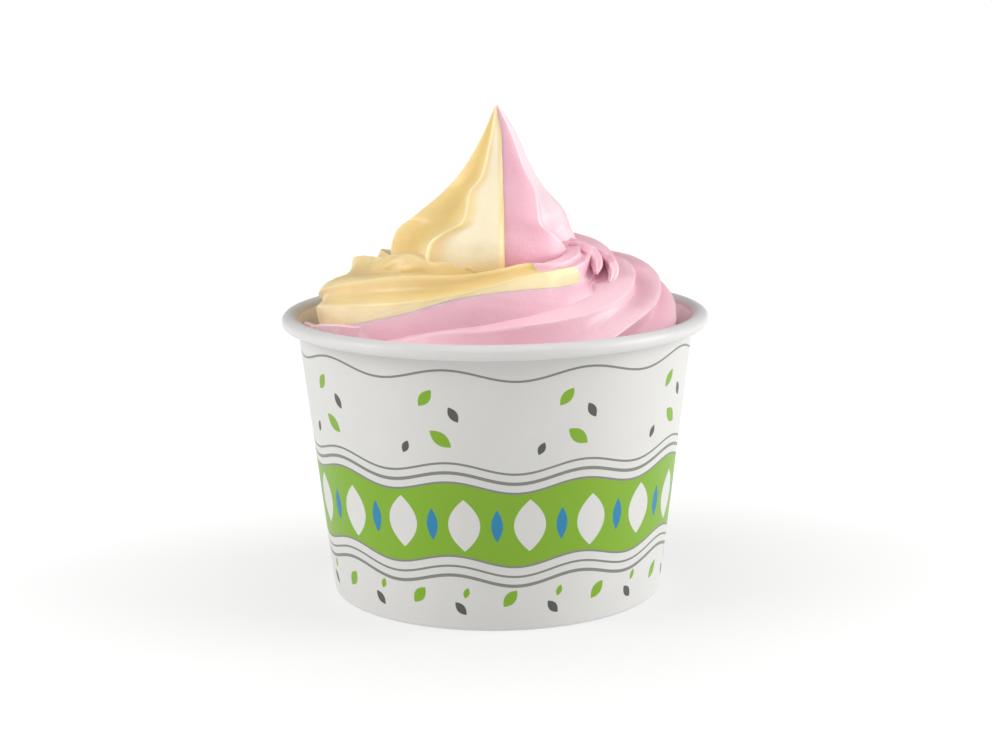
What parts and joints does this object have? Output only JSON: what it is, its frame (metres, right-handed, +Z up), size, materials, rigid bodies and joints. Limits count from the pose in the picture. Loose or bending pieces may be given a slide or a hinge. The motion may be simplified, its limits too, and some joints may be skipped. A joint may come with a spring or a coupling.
{
  "type": "frozen yogurt cup",
  "caption": "Paper dessert cup with a rolled rim, heaped with twin-flavour soft frozen yogurt piped as a ridged coil under a tall pointed peak.",
  "frame": {"origin": "centre of the cup's foot, on the surface it stands on", "axes": "+Z up through the cup's axis towards the peak, -Y is the front that the picture shows, +X is to its right"},
  "size_m": [0.096, 0.096, 0.1096],
  "materials": {
    "printed_paper": "white coated paperboard with a printed band, satin",
    "plain_paper": "white coated paperboard, unprinted, satin",
    "pink_yogurt": "soft frozen dessert, strawberry pink, moist satin",
    "yellow_yogurt": "soft frozen dessert, pale mango yellow, moist satin"
  },
  "bodies": {
    "root": {"cup_wall": "printed_paper", "cup_base": "plain_paper", "yogurt_pink": "pink_yogurt", "yogurt_yellow": "yellow_yogurt"}
  },
  "joints": []
}
